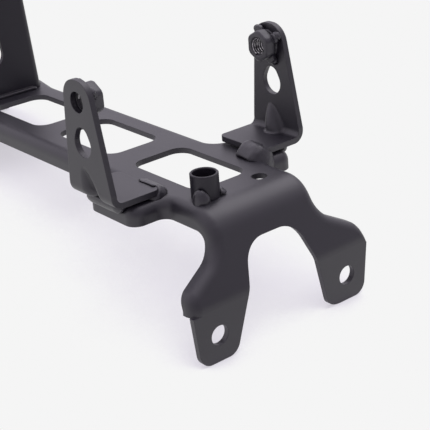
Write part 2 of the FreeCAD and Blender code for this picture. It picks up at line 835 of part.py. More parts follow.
bridge = build_bridge()
blank = press_block("bridge_blank", 0.0)
nodes = [bridge]
for name, side in (("left", -1), ("right", 1)):
    tab = build_tab(f"{name}_tab", side)
    nut = build_nut(f"{name}_weld_nut", side)
    nodes += [tab, nut, nut_bead(name, side, tab, nut)]
    nodes += tab_beads(name, side, tab, blank)
tube = build_tube()
upright = build_upright()
nodes += [tube, upright] + tube_beads(blank) + upright_beads(upright, blank)
doc.recompute()

broken = [item.Name for item in doc.Objects if "Invalid" in item.State or "Error" in item.State]
if broken:
    raise RuntimeError(f"not rebuilt: {broken}")
os.makedirs("parts", exist_ok=True)
for node in nodes:
    if node.Shape.isNull() or not node.Shape.isValid():
        raise RuntimeError(f"{node.Label} is not a valid solid")
    node.Shape.exportStep(f"parts/{node.Label}.step")
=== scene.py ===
"""Headlight mounting bracket: its powder coat, welds, threaded nuts, floor, light and camera.

The welded bracket comes from the CAD frame. This script dresses every CAD node, gives the
right ear and the tabs' darts their pressed form, builds the weld nuts with their threads
and the rough weld beads, and sets the bracket on a pale studio floor. All lengths are in
metres, in the frame's own axes: X across, -Y ahead, +Z up from the sheet.
"""

from __future__ import annotations

import logging
import math
from collections.abc import Callable
from dataclasses import dataclass
from enum import Enum
from typing import Any

import bmesh
import bpy
from mathutils import Matrix, Vector, noise

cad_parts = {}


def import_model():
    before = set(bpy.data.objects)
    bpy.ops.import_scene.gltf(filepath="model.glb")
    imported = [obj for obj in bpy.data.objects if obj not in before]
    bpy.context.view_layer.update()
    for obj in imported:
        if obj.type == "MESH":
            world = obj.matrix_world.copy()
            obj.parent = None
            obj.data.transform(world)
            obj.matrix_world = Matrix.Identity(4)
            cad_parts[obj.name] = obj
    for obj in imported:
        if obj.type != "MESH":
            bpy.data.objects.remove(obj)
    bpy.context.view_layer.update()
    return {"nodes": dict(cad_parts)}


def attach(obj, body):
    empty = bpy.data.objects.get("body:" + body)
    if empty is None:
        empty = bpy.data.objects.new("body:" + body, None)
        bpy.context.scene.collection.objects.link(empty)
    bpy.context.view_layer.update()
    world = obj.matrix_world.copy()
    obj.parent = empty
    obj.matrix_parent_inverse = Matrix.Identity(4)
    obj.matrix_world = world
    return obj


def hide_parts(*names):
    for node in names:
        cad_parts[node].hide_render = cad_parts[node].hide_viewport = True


LOG = logging.getLogger("headlight_bracket")
MM = 0.001
BODY = "root"
MERGE = 0.001 * MM
CAD_MERGE = 0.002 * MM
SHARP = math.radians(40)
NOISE_MIDDLE = 0.5


class Side(Enum):
    """Which of the two lamp tabs a piece belongs to."""

    LEFT = -1
    RIGHT = 1

    @property
    def word(self) -> str:
        """The side's name as the CAD nodes spell it."""
        return self.name.lower()


class Slot(Enum):
    """The record's material slots."""

    POWDER = "powder_coat"
    NUT = "nut_coat"
    WELD = "weld_coat"


class Wire:
    """A shader socket that takes part in Python arithmetic."""

    def __init__(self, graph: Graph, socket: bpy.types.NodeSocket | None) -> None:
        """Wraps one output socket.

        Args:
            graph: The node tree that the socket belongs to.
            socket: The output socket, or None for a node that has none.
        """
        self.graph = graph
        self.socket = socket

    def _maths(self, operation: str, first: Any, second: Any) -> Wire:
        """Adds one Math node.

        Args:
            operation: The Math node's operation.
            first: A wire or a number.
            second: A wire or a number.

        Returns:
            The node's value.
        """
        return self.graph.node("ShaderNodeMath", {"operation": operation}, {0: first, 1: second})

    def __add__(self, other: Any) -> Wire:
        """This wire plus another value."""
        return self._maths("ADD", self, other)

    def __radd__(self, other: Any) -> Wire:
        """Another value plus this wire."""
        return self._maths("ADD", other, self)

    def __sub__(self, other: Any) -> Wire:
        """This wire less another value."""
        return self._maths("SUBTRACT", self, other)

    def __rsub__(self, other: Any) -> Wire:
        """Another value less this wire."""
        return self._maths("SUBTRACT", other, self)

    def __mul__(self, other: Any) -> Wire:
        """This wire times another value."""
        return self._maths("MULTIPLY", self, other)

    def __rmul__(self, other: Any) -> Wire:
        """Another value times this wire."""
        return self._maths("MULTIPLY", other, self)

    def clamped(self) -> Wire:
        """This wire kept between 0 and 1."""
        return self.graph.node("ShaderNodeClamp", {}, {"Value": self, "Min": 0.0, "Max": 1.0})


class Graph:
    """The node tree of one material or world, filled through a single method."""

    def __init__(self, tree: bpy.types.NodeTree) -> None:
        """Empties a tree and takes it over.

        Args:
            tree: The node tree to fill.
        """
        self.tree = tree
        self.tree.nodes.clear()

    def node(
        self,
        kind: str,
        settings: dict[str, Any] | None = None,
        inputs: dict[str | int, Any] | None = None,
        output: str | int = 0,
    ) -> Wire:
        """Adds a node, sets it up and links it.

        Args:
            kind: The node's type.
            settings: Properties of the node, set first.
            inputs: Values or wires by socket name or number.
            output: The output socket that is returned.

        Returns:
            The chosen output as a wire.
        """
        made = self.tree.nodes.new(kind)
        for name, value in (settings or {}).items():
            setattr(made, name, value)
        for key, value in (inputs or {}).items():
            socket = made.inputs[key]
            if isinstance(value, Wire):
                self.tree.links.new(value.socket, socket)
            else:
                socket.default_value = value
        sockets = made.outputs
        return Wire(self, sockets[output]) if len(sockets) else Wire(self, None)

    def noise(self, vector: Wire, size: float, detail: float, roughness: float = 0.5) -> Wire:
        """Adds a noise of a given grain.

        Args:
            vector: Where the noise is read.
            size: The grain's size in metres.
            detail: How many finer layers it has.
            roughness: How strong those layers are.

        Returns:
            The noise's level, around one half.
        """
        values = {"Vector": vector, "Scale": 1.0 / size, "Detail": detail, "Roughness": roughness}
        return self.node("ShaderNodeTexNoise", {}, values)

    def mixed(self, share: Wire, low: tuple, high: tuple) -> Wire:
        """Mixes two colours.

        Args:
            share: 0 gives the low colour and 1 the high one.
            low: The first colour.
            high: The second colour.

        Returns:
            The mixed colour.
        """
        values = {0: share, 6: (*low, 1.0), 7: (*high, 1.0)}
        return self.node("ShaderNodeMix", {"data_type": "RGBA"}, values, 2)


@dataclass(frozen=True)
class CoatFinish:
    """A satin powder coat over pressed sheet, weld metal or a turned nut.

    The coat has a fine orange peel, slow changes of tone and gloss, and soft edges painted
    lighter: partly wear where the coat runs thin, partly a painted highlight.
    """

    name: str
    slot: Slot
    colour: tuple[float, float, float]
    edge_colour: tuple[float, float, float]
    roughness: float = 0.45
    specular: float = 0.82
    specular_tint: tuple[float, float, float] = (0.985, 0.955, 1.0)
    peel_size: float = 0.9 * MM
    peel_height: float = 0.010 * MM
    dust_size: float = 0.22 * MM
    dust_height: float = 0.0035 * MM
    tone_size: float = 22 * MM
    tone_change: float = 0.12
    tone_gloss: float = 0.10
    dust_gloss: float = 0.08
    worn_all_over: float = 0.19
    worn_at_edge: float = 0.5
    edge_round: float = 0.55 * MM
    edge_samples: int = 6
    edge_gain: float = 6.0
    ripple_size: float = 0.0
    ripple_height: float = 0.0

    def material(self) -> bpy.types.Material:
        """Builds the material.

        Returns:
            The finished material.
        """
        made = bpy.data.materials.new(self.name)
        made.use_nodes = True
        graph = Graph(made.node_tree)
        place = graph.node("ShaderNodeTexCoord", {}, {}, "Object")
        rounding = {"samples": self.edge_samples}
        soft = graph.node("ShaderNodeBevel", rounding, {"Radius": self.edge_round})
        true = graph.node("ShaderNodeNewGeometry", {}, {}, "Normal")
        both = {0: soft, 1: true}
        facing = graph.node("ShaderNodeVectorMath", {"operation": "DOT_PRODUCT"}, both, "Value")
        # Edge mask: the edges are painted lighter, partly as thin-coat wear and partly as a painted
        # highlight.
        edge = ((1.0 - facing) * self.edge_gain).clamped()
        tone = graph.noise(place, self.tone_size, detail=3.0)
        highlight_and_wear = edge * self.worn_at_edge + self.worn_all_over
        shade = (tone * self.tone_change + highlight_and_wear).clamped()
        peel = graph.noise(place, self.peel_size, detail=2.0)
        dust = graph.noise(place, self.dust_size, detail=1.0)
        height = peel * self.peel_height + dust * self.dust_height
        if self.ripple_size > 0:
            ripple = graph.noise(place, self.ripple_size, detail=3.0, roughness=0.6)
            height = height + ripple * self.ripple_height
        relief = {"Strength": 1.0, "Distance": 1.0, "Height": height, "Normal": soft}
        bump = graph.node("ShaderNodeBump", {}, relief)
        gloss = self.roughness + (tone - NOISE_MIDDLE) * self.tone_gloss
        gloss = gloss + (dust - NOISE_MIDDLE) * self.dust_gloss
        values = {
            # Base colour lighter at the edges: partly wear, partly a painted highlight.
            "Base Color": graph.mixed(shade, self.colour, self.edge_colour),
            "Roughness": gloss,
            "Specular IOR Level": self.specular,
            "Specular Tint": (*self.specular_tint, 1.0),
            "Normal": bump,
        }
        surface = graph.node("ShaderNodeBsdfPrincipled", {}, values)
        graph.node("ShaderNodeOutputMaterial", {}, {"Surface": surface})
        return made


POWDER_BLACK = (0.0064, 0.0052, 0.0106)
# Colour of the edges: partly worn coat, partly a painted highlight.
HIGHLIGHT_AND_WORN_BLACK = (0.0258, 0.0238, 0.0310)
SHEET_COAT = CoatFinish(
    name="satin_coat_on_sheet",
    slot=Slot.POWDER,
    colour=POWDER_BLACK,
    edge_colour=HIGHLIGHT_AND_WORN_BLACK,
)
TUBE_COAT = CoatFinish(
    name="satin_coat_on_tube",
    slot=Slot.POWDER,
    colour=POWDER_BLACK,
    edge_colour=HIGHLIGHT_AND_WORN_BLACK,
    specular=0.45,
)
NUT_COAT = CoatFinish(
    name="thin_coat_on_nut",
    slot=Slot.NUT,
    colour=POWDER_BLACK,
    # Lighter edge colour of the nut: partly worn coat, partly a painted highlight.
    edge_colour=(0.0400, 0.0380, 0.0470),
    roughness=0.40,
    edge_round=0.35 * MM,
)
WELD_COAT = CoatFinish(
    name="coat_over_weld",
    slot=Slot.WELD,
    colour=POWDER_BLACK,
    edge_colour=HIGHLIGHT_AND_WORN_BLACK,
    roughness=0.38,
    edge_round=0.9 * MM,
    ripple_size=1.8 * MM,
    ripple_height=0.16 * MM,
)


@dataclass(frozen=True)
class ThreadFinish:
    """A coated thread whose crests are rubbed bare and catch the light."""

    name: str = "rubbed_thread"
    slot: Slot = Slot.NUT
    bare: tuple[float, float, float] = (0.68, 0.66, 0.67)
    coated: tuple[float, float, float] = (0.016, 0.015, 0.018)
    metal: float = 0.45
    roughness: float = 0.34
    axis_high: float = 44.3 * MM
    bare_within: float = 3.48 * MM
    coated_beyond: float = 3.66 * MM
    grain: float = 1.8 * MM
    patch_from: float = 0.36
    patch_gain: float = 5.0

    def material(self) -> bpy.types.Material:
        """Builds the material.

        Returns:
            The finished material.
        """
        made = bpy.data.materials.new(self.name)
        made.use_nodes = True
        graph = Graph(made.node_tree)
        place = graph.node("ShaderNodeTexCoord", {}, {}, "Object")
        axis = (0.0, 0.0, self.axis_high)
        off_axis = graph.node("ShaderNodeVectorMath", {"operation": "SUBTRACT"}, {0: place, 1: axis})
        flat = {0: off_axis, 1: (0.0, 1.0, 1.0)}
        across = graph.node("ShaderNodeVectorMath", {"operation": "MULTIPLY"}, flat)
        reach = graph.node("ShaderNodeVectorMath", {"operation": "LENGTH"}, {0: across}, "Value")
        limits = {"Value": reach, "From Min": self.coated_beyond, "From Max": self.bare_within}
        crest = graph.node("ShaderNodeMapRange", {}, limits)
        level = graph.noise(place, self.grain, detail=3.0, roughness=0.6)
        patch = ((level - self.patch_from) * self.patch_gain).clamped()
        rubbed = crest * patch
        values = {
            "Base Color": graph.mixed(rubbed, self.coated, self.bare),
            "Metallic": rubbed * self.metal,
            "Roughness": self.roughness,
        }
        surface = graph.node("ShaderNodeBsdfPrincipled", {}, values)
        graph.node("ShaderNodeOutputMaterial", {}, {"Surface": surface})
        return made


RUBBED_THREAD = ThreadFinish()


class Forge:
    """Makes pieces of the bracket from bmesh shapes, and keeps one material per finish."""

    def __init__(self) -> None:
        """Starts with no materials made."""
        self._materials: dict[str, bpy.types.Material] = {}

    def material(self, finish: CoatFinish | ThreadFinish) -> bpy.types.Material:
        """The material of a finish, built once.

        Args:
            finish: The finish.

        Returns:
            Its material.
        """
        if finish.name not in self._materials:
            self._materials[finish.name] = finish.material()
        return self._materials[finish.name]

    def dress(self, piece: bpy.types.Object, finish: CoatFinish | ThreadFinish) -> None:
        """Gives an object a finish.

        Args:
            piece: The object.
            finish: Its finish.
        """
        piece.data.materials.clear()
        piece.data.materials.append(self.material(finish))

    def piece(
        self,
        name: str,
        shape: bmesh.types.BMesh,
        finish: CoatFinish | ThreadFinish,
    ) -> bpy.types.Object:
        """Turns a shape into a dressed object that rides with the bracket.

        Args:
            name: The object's name.
            shape: The shape, in the frame's axes. It is freed.
            finish: The object's finish.

        Returns:
            The object.
        """
        bmesh.ops.remove_doubles(shape, verts=shape.verts, dist=MERGE)
        bmesh.ops.recalc_face_normals(shape, faces=shape.faces)
        if shape.calc_volume(signed=True) < 0:
            bmesh.ops.reverse_faces(shape, faces=shape.faces)
        mesh = bpy.data.meshes.new(name)
        shape.to_mesh(mesh)
        shape.free()
        mesh.polygons.foreach_set("use_smooth", [True] * len(mesh.polygons))
        mesh.set_sharp_from_angle(angle=SHARP)
        return self._bring_in(name, mesh, finish)

    def pressed(
        self,
        name: str,
        source: bpy.types.Object,
        move: Callable[[Vector], Vector],
        finish: CoatFinish,
    ) -> bpy.types.Object:
        """Copies a CAD node's mesh with some of its points moved.

        The copy's points are merged once they have moved, and its corners keep the soft
        and sharp shading of the solid's skin.

        Args:
            name: The object's name.
            source: The CAD node.
            move: How far the point at a place moves.
            finish: The object's finish.

        Returns:
            The object.
        """
        mesh = source.data.copy()
        mesh.name = name
        for vertex in mesh.vertices:
            vertex.co += move(vertex.co)
        normals = [corner.vector.copy() for corner in mesh.corner_normals]
        shape = bmesh.new()
        shape.from_mesh(mesh)
        bmesh.ops.remove_doubles(shape, verts=shape.verts, dist=MERGE)
        shape.to_mesh(mesh)
        shape.free()
        mesh.normals_split_custom_set(normals)
        return self._bring_in(name, mesh, finish)

    def _bring_in(
        self,
        name: str,
        mesh: bpy.types.Mesh,
        finish: CoatFinish | ThreadFinish,
    ) -> bpy.types.Object:
        """Makes a dressed object of a mesh and lets it ride with the bracket.

        Args:
            name: The object's name.
            mesh: Its mesh.
            finish: Its finish.

        Returns:
            The object.
        """
        made = bpy.data.objects.new(name, mesh)
        bpy.context.scene.collection.objects.link(made)
        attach(made, BODY)
        self.dress(made, finish)
        LOG.info("made %s with %d faces", name, len(mesh.polygons))
        return made


@dataclass
class WeldNut:
    """One weld nut: a hexagonal barrel on a collar, four lugs, a cut thread and its welds."""

    side: Side
    face: float = 50.3 * MM
    high: float = 44.3 * MM
    long: float = 6.6 * MM
    seat: float = 0.02 * MM
    gap: float = 1.8 * MM
    flats: float = 13.0 * MM
    corner_reach: float = 7.02 * MM
    rim: float = 0.8 * MM
    collar: float = 5.6 * MM
    lug: float = 2.4 * MM
    lug_reach: float = 6.7 * MM
    lug_off: float = 0.6 * MM
    lug_long: float = 2.2 * MM
    lug_soft: float = 0.45 * MM
    lug_steps: int = 32
    lug_angles: tuple[float, ...] = (60, 150, 240, 330)
    root: float = 4.05 * MM
    crest: float = 3.4 * MM
    mouth: float = 4.4 * MM
    pitch: float = 1.25 * MM
    blunt: float = 0.2 * MM
    flank_share: float = 0.38
    thread_from: float = 0.5 * MM
    thread_sink: float = 0.02 * MM
    turns: float = 4.2
    steps: int = 72
    bead: float = 0.9 * MM
    bead_off: float = 0.25 * MM
    bead_steps: int = 10
    dab: float = 2.1 * MM
    dab_off: float = 0.7 * MM
    dab_beyond_lug: float = 1.3 * MM
    dab_stretch: tuple[float, float, float] = (0.75, 1.15, 1.0)
    dab_turn: float = -14
    dab_turn_step: float = 9
    weld_grain: float = 1.9 * MM
    weld_height: float = 0.35 * MM
    weld_seed: float = 11.0

    @property
    def centre(self) -> Vector:
        """Where the nut's axis meets the tab's inner face."""
        return Vector((self.side.value * self.face, 0.0, self.high))

    @property
    def inward(self) -> Vector:
        """The axis, from the tab towards the middle of the bracket."""
        return Vector((-self.side.value, 0.0, 0.0))

    def build(self, forge: Forge) -> None:
        """Builds the nut, its thread and its welds in place of the CAD pieces.

        Args:
            forge: What turns the shapes into objects.
        """
        word = self.side.word
        nut = forge.piece(f"{word}_hexagon_nut", self._body(), NUT_COAT)
        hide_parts(f"{word}_weld_nut")
        forge.piece(f"{word}_nut_thread", self._thread(), RUBBED_THREAD)
        welds = forge.piece(f"{word}_nut_dabs", self._welds(), WELD_COAT)
        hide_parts(f"{word}_nut_weld")

    def _point(self, along: float, reach: float, angle: float) -> Vector:
        """A point round the nut's axis.

        Args:
            along: Distance from the tab's face.
            reach: Distance from the axis.
            angle: Angle in radians, from +Y towards +Z.

        Returns:
            The point in the frame's axes.
        """
        across = Vector((0.0, math.cos(angle), math.sin(angle))) * reach
        return self.centre + self.inward * along + across

    def _turned(self) -> Matrix:
        """The turn that lays a flat shape across the nut's axis."""
        return self.inward.to_track_quat("Z", "Y").to_matrix().to_4x4()

    def _hexagon(self, angle: float, inset: float) -> float:
        """How far the hexagon with turned corners reaches at an angle.

        Args:
            angle: Angle in radians.
            inset: How far the outline is drawn in.

        Returns:
            The distance from the axis.
        """
        sector = math.radians(60)
        turned = (angle + sector / 2) % sector - sector / 2
        return min(self.flats / 2 / math.cos(turned), self.corner_reach) - inset

    def _place_ring(
        self,
        verts: list[bmesh.types.BMVert],
        station: tuple[float, float | None, float],
    ) -> None:
        """Moves a ring of points to a station, each at its own angle round the axis.

        Args:
            verts: The ring's points.
            station: Distance from the tab's face, radius or None for the hexagon, and how
                far the hexagon is drawn in.
        """
        along, radius, inset = station
        for vert in verts:
            off_axis = vert.co - self.centre
            angle = math.atan2(off_axis.z, off_axis.y)
            reach = self._hexagon(angle, inset) if radius is None else radius
            vert.co = self._point(along, reach, angle)

    def _body(self) -> bmesh.types.BMesh:
        """The nut's metal: barrel, collar and lugs, with a bore at the thread's root.

        Returns:
            The shape.
        """
        shape = bmesh.new()
        end, soft = self.long, self.rim / 3
        mouth_deep = self.mouth - self.root
        stations = [
            (self.seat, self.root, 0.0),
            (self.seat, self.collar, 0.0),
            (self.gap, self.collar, 0.0),
            (self.gap, None, soft),
            (self.gap + soft, None, 0.0),
            (end - self.rim, None, 0.0),
            (end - soft, None, soft),
            (end, None, self.rim),
            (end, self.mouth, 0.0),
            (end - mouth_deep, self.root, 0.0),
        ]
        bmesh.ops.create_circle(
            shape,
            cap_ends=False,
            segments=self.steps,
            radius=self.root,
            matrix=Matrix.Translation(self.centre) @ self._turned(),
        )
        self._place_ring(list(shape.verts), stations[0])
        ring = list(shape.edges)
        for station in stations[1:] + stations[:1]:
            grown = bmesh.ops.extrude_edge_only(shape, edges=ring)["geom"]
            edges = [item for item in grown if isinstance(item, bmesh.types.BMEdge)]
            ring = [edge for edge in edges if edge.is_boundary]
            verts = [item for item in grown if isinstance(item, bmesh.types.BMVert)]
            self._place_ring(verts, station)
        for angle in self.lug_angles:
            self._add_lug(shape, math.radians(angle))
        return shape

    def _add_lug(self, shape: bmesh.types.BMesh, angle: float) -> None:
        """Adds one round lug with a softened rim.

        Args:
            shape: The shape that grows.
            angle: The lug's angle round the axis.
        """
        middle = self._point(self.lug_off + self.lug_long / 2, self.lug_reach, angle)
        made = bmesh.ops.create_cone(
            shape,
            cap_ends=True,
            segments=self.lug_steps,
            radius1=self.lug,
            radius2=self.lug,
            depth=self.lug_long,
            matrix=Matrix.Translation(middle) @ self._turned(),
        )
        edges = {edge for vert in made["verts"] for edge in vert.link_edges}
        rims = [edge for edge in edges if any(len(face.verts) > 4 for face in edge.link_faces)]
        bmesh.ops.bevel(
            shape,
            geom=rims,
            offset=self.lug_soft,
            affect="EDGES",
            segments=3,
            profile=0.5,
            material=-1,
        )

    def _thread(self) -> bmesh.types.BMesh:
        """The thread: one blunt tooth that winds down the bore.

        Returns:
            The shape.
        """
        shape = bmesh.new()
        flank, foot = self.pitch * self.flank_share, self.root + self.thread_sink
        rise = self.thread_from + flank
        fall = rise + self.blunt
        end = fall + flank
        corners = [(self.thread_from, foot), (rise, self.crest), (fall, self.crest), (end, foot)]
        verts = [shape.verts.new(self._point(along, reach, 0.0)) for along, reach in corners]
        tooth = shape.faces.new(verts)
        count = round(self.turns * self.steps / 2)
        bmesh.ops.spin(
            shape,
            geom=[tooth] + list(tooth.edges) + verts,
            cent=self.centre,
            axis=self.inward,
            dvec=self.inward * (self.pitch * 2 / self.steps),
            angle=math.tau * self.turns,
            steps=count,
            use_merge=False,
            use_duplicate=False,
        )
        return shape

    def _welds(self) -> bmesh.types.BMesh:
        """The bead round the collar, with a dab of weld on each lug.

        Returns:
            The shape.
        """
        shape = bmesh.new()
        profile = []
        for step in range(self.bead_steps):
            turn = math.tau * step / self.bead_steps
            along = self.bead_off + self.bead * math.cos(turn)
            reach = self.collar + self.bead * math.sin(turn)
            profile.append(shape.verts.new(self._point(along, reach, 0.0)))
        pairs = zip(profile[-1:] + profile[:-1], profile)
        edges = [shape.edges.new(pair) for pair in pairs]
        bmesh.ops.spin(
            shape,
            geom=edges + profile,
            cent=self.centre,
            axis=self.inward,
            angle=math.tau,
            steps=self.steps,
            use_merge=True,
            use_duplicate=False,
        )
        for place, lug_angle in enumerate(self.lug_angles):
            angle = math.radians(lug_angle + self.dab_turn + self.dab_turn_step * place)
            middle = self._point(self.dab_off, self.lug_reach + self.dab_beyond_lug, angle)
            stretched = Matrix.Translation(middle) @ Matrix.Diagonal((*self.dab_stretch, 1.0))
            bmesh.ops.create_icosphere(shape, subdivisions=4, radius=self.dab, matrix=stretched)
        roughen(shape, self.weld_grain, self.weld_height, self.weld_seed + self.side.value)
        return shape


FINE_WAVES = 2.3
FINE_SHARE = 0.45


def roughen(shape: bmesh.types.BMesh, grain: float, height: float, seed: float) -> None:
    """Moves a shape's skin in and out by coarse and fine waves, as weld metal sets.

    Args:
        shape: The shape.
        grain: Size of the coarse waves.
        height: How far the coarse waves move the skin at most.
        seed: Tells one bead's waves from another's.
    """
    bmesh.ops.recalc_face_normals(shape, faces=shape.faces)
    shape.normal_update()
    shift = Vector((seed, -seed, 0.5 * seed))
    moves = []
    for vert in shape.verts:
        coarse = noise.noise(vert.co / grain + shift)
        fine = noise.noise(vert.co * (FINE_WAVES / grain) - shift)
        moves.append(vert.normal * ((coarse + FINE_SHARE * fine) * height))
    for vert, move in zip(shape.verts, moves):
        vert.co += move


@dataclass
class WeldBead:
    """One run of weld metal: the CAD bead, molten soft, with a wavy skin."""

    node: str
    grain: float = 3.0 * MM
    height: float = 0.35 * MM
    shrink: float = 0.15 * MM
    melt_rounds: int = 3
    stretch: tuple[float, float, float] = (1.0, 1.0, 1.0)
    shift: tuple[float, float, float] = (0.0, 0.0, 0.0)

    def build(self, forge: Forge, source: bpy.types.Object, seed: float) -> None:
        """Builds the bead from a copy of the CAD node's mesh.

        Args:
            forge: What turns the shape into an object.
            source: The CAD node.
            seed: Tells one bead's waves from another's.
        """
        shape = bmesh.new()
        shape.from_mesh(source.data)
        bmesh.ops.remove_doubles(shape, verts=shape.verts, dist=CAD_MERGE)
        for _ in range(self.melt_rounds):
            bmesh.ops.smooth_vert(
                shape,
                verts=shape.verts,
                factor=0.5,
                use_axis_x=True,
                use_axis_y=True,
                use_axis_z=True,
            )
        middle = sum((vert.co for vert in shape.verts), Vector()) / len(shape.verts)
        place = Matrix.Translation(middle + Vector(self.shift) * MM)
        reshape = place @ Matrix.Diagonal((*self.stretch, 1.0)) @ Matrix.Translation(-middle)
        bmesh.ops.transform(shape, matrix=reshape, verts=shape.verts)
        roughen(shape, self.grain, self.height, seed)
        for vert in shape.verts:
            vert.co -= vert.normal * self.shrink
        piece = forge.piece(f"{self.node}_bead", shape, WELD_COAT)
        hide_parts(self.node)


BEAD_SEED_STEP = 3.7
BEADS = (
    WeldBead(
        "left_inner_weld",
        height=0.15 * MM,
        melt_rounds=4,
        stretch=(1.25, 1.0, 1.15),
        shift=(0.3, 0.0, 0.1),
    ),
    WeldBead(
        "right_inner_weld",
        grain=4.0 * MM,
        melt_rounds=5,
        stretch=(1.2, 0.88, 1.5),
        shift=(0.0, 0.0, -0.1),
    ),
    WeldBead("left_outer_weld", height=0.2 * MM),
    WeldBead("right_outer_weld", height=0.2 * MM, melt_rounds=9, stretch=(1.08, 1.05, 1.1)),
    WeldBead("tube_front_weld", stretch=(0.8, 0.8, 1.45), shift=(-0.5, 0.4, 0.3)),
    WeldBead("tube_rear_weld", grain=2.6 * MM, melt_rounds=1, stretch=(1.1, 1.1, 0.8)),
    WeldBead("upright_front_weld", grain=2.2 * MM, height=0.9 * MM, shrink=0.35 * MM, melt_rounds=0),
    WeldBead("upright_left_weld", grain=2.4 * MM, height=0.4 * MM, shrink=0.3 * MM, melt_rounds=0),
    WeldBead("upright_right_weld", grain=2.4 * MM, height=0.4 * MM, shrink=0.3 * MM, melt_rounds=0),
)


def eased(level: float) -> float:
    """A smooth step from 0 to 1 as the level goes from 0 to 1."""
    level = min(max(level, 0.0), 1.0)
    return level * level * (3.0 - 2.0 * level)


@dataclass
class BridgeSheet:
    """The bridge sheet, with its right ear as the press left it.

    The rolled edge runs out flat into the ear's outer corner, and the ear's inner foot is
    a little wider than its mirror image.
    """

    node: str = "bridge_plate"
    face: float = -59.9 * MM
    roll: float = 5.0 * MM
    thick: float = 2.6 * MM
    knee: float = 10.0 * MM
    knee_end: float = -33.77 * MM
    roll_from: float = -27.4 * MM
    roll_end: float = -34.4 * MM
    roll_least: float = 0.9 * MM
    inner_least: float = 0.3 * MM
    edge_at_end: float = 48.84 * MM
    edge_slope: float = 0.14
    end_slack: float = 0.05 * MM
    side_slack: float = 0.15 * MM
    front_slack: float = 0.1 * MM
    skin_slack: float = 0.25 * MM
    skin_depth: float = 3.5 * MM
    foot_from: float = -34.5 * MM
    foot_slope: float = 0.105
    foot_slack: float = 0.2 * MM
    foot_full: float = 26.0 * MM
    foot_none: float = 34.0 * MM
    hole: Vector = Vector((36.0, -46.1)) * MM
    hole_keep: float = 5.4 * MM

    def build(self, forge: Forge, source: bpy.types.Object) -> None:
        """Builds the sheet from a copy of the CAD node's mesh.

        Args:
            forge: What turns the mesh into an object.
            source: The CAD node.
        """
        made = forge.pressed("bridge_sheet", source, self._move, SHEET_COAT)
        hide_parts(self.node)

    def _move(self, place: Vector) -> Vector:
        """How far a point of the sheet moves."""
        return self._run_out(place) + self._widen(place)

    def _run_out(self, place: Vector) -> Vector:
        """How far a point of the rolled edge moves as the roll grows tighter.

        Args:
            place: The point.

        Returns:
            The move.
        """
        if not self.roll_end - self.end_slack <= place.z <= self.roll_from:
            return Vector()
        share = (self.roll_from - place.z) / (self.roll_from - self.roll_end)
        tighter = (self.roll - self.roll_least) * share
        centre_x = self.edge_at_end - self.edge_slope * (place.z - self.roll_end) - self.roll
        climb = max(place.z - self.knee_end, 0.0)
        centre_y = self.face + self.knee - math.sqrt(self.knee**2 - climb**2) + self.roll
        out, ahead = place.x - centre_x, centre_y - place.y
        reach = math.hypot(out, ahead)
        off_quarter = out < -self.side_slack or ahead < -self.front_slack
        off_skin = not self.roll - self.skin_depth <= reach <= self.roll + self.skin_slack
        if off_quarter or off_skin:
            return Vector()
        if reach < self.roll - self.thick / 2:
            tighter = min(tighter, self.roll - self.thick - self.inner_least)
        turn = math.atan2(max(out, 0.0), max(ahead, 0.0))
        return Vector((tighter * (1 - math.sin(turn)), -tighter * (1 - math.cos(turn)), 0.0))

    def _widen(self, place: Vector) -> Vector:
        """How far a point of the right ear's inner foot moves.

        Args:
            place: The point.

        Returns:
            The move.
        """
        above = place.z > self.foot_from
        behind = place.y > self.face + self.thick + self.foot_slack
        at_hole = (Vector((place.x, place.z)) - self.hole).length < self.hole_keep
        if place.x < 0 or above or behind or at_hole:
            return Vector()
        share = eased((self.foot_none - place.x) / (self.foot_none - self.foot_full))
        return Vector(((place.z - self.foot_from) * self.foot_slope * share, 0.0, 0.0))


@dataclass
class TabDart:
    """A lamp tab whose dart stands up steeply and rounds off at its top, as it was pressed."""

    side: Side
    face: float = 50.3 * MM
    bend: float = 2.8 * MM
    foot: float = 3.8 * MM
    high: float = 16 * MM
    half_wide: float = 8.0 * MM
    fullness: float = 2.2
    top_share: float = 0.999
    least_proud: float = 0.01 * MM

    def build(self, forge: Forge, source: bpy.types.Object) -> None:
        """Builds the tab from a copy of the CAD node's mesh.

        Args:
            forge: What turns the mesh into an object.
            source: The CAD node.
        """
        word = self.side.word
        made = forge.pressed(f"{word}_pressed_tab", source, self._move, SHEET_COAT)
        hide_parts(f"{word}_tab")

    def _move(self, place: Vector) -> Vector:
        """How far a point of the dart moves, towards the middle of the bracket.

        Args:
            place: The point.

        Returns:
            The move.
        """
        share = (place.z - self.foot) / (self.high - self.foot)
        if not 0.0 < share < self.top_share or abs(place.y) > self.half_wide:
            return Vector()
        drop = max(self.foot + self.bend - place.z, 0.0)
        skin = self.face - self.bend + math.sqrt(max(self.bend**2 - drop**2, 0.0))
        proud = skin - abs(place.x)
        if proud < self.least_proud:
            return Vector()
        fuller = proud * ((1.0 - share**self.fullness) / (1.0 - share) - 1.0)
        return Vector((-self.side.value * fuller, 0.0, 0.0))


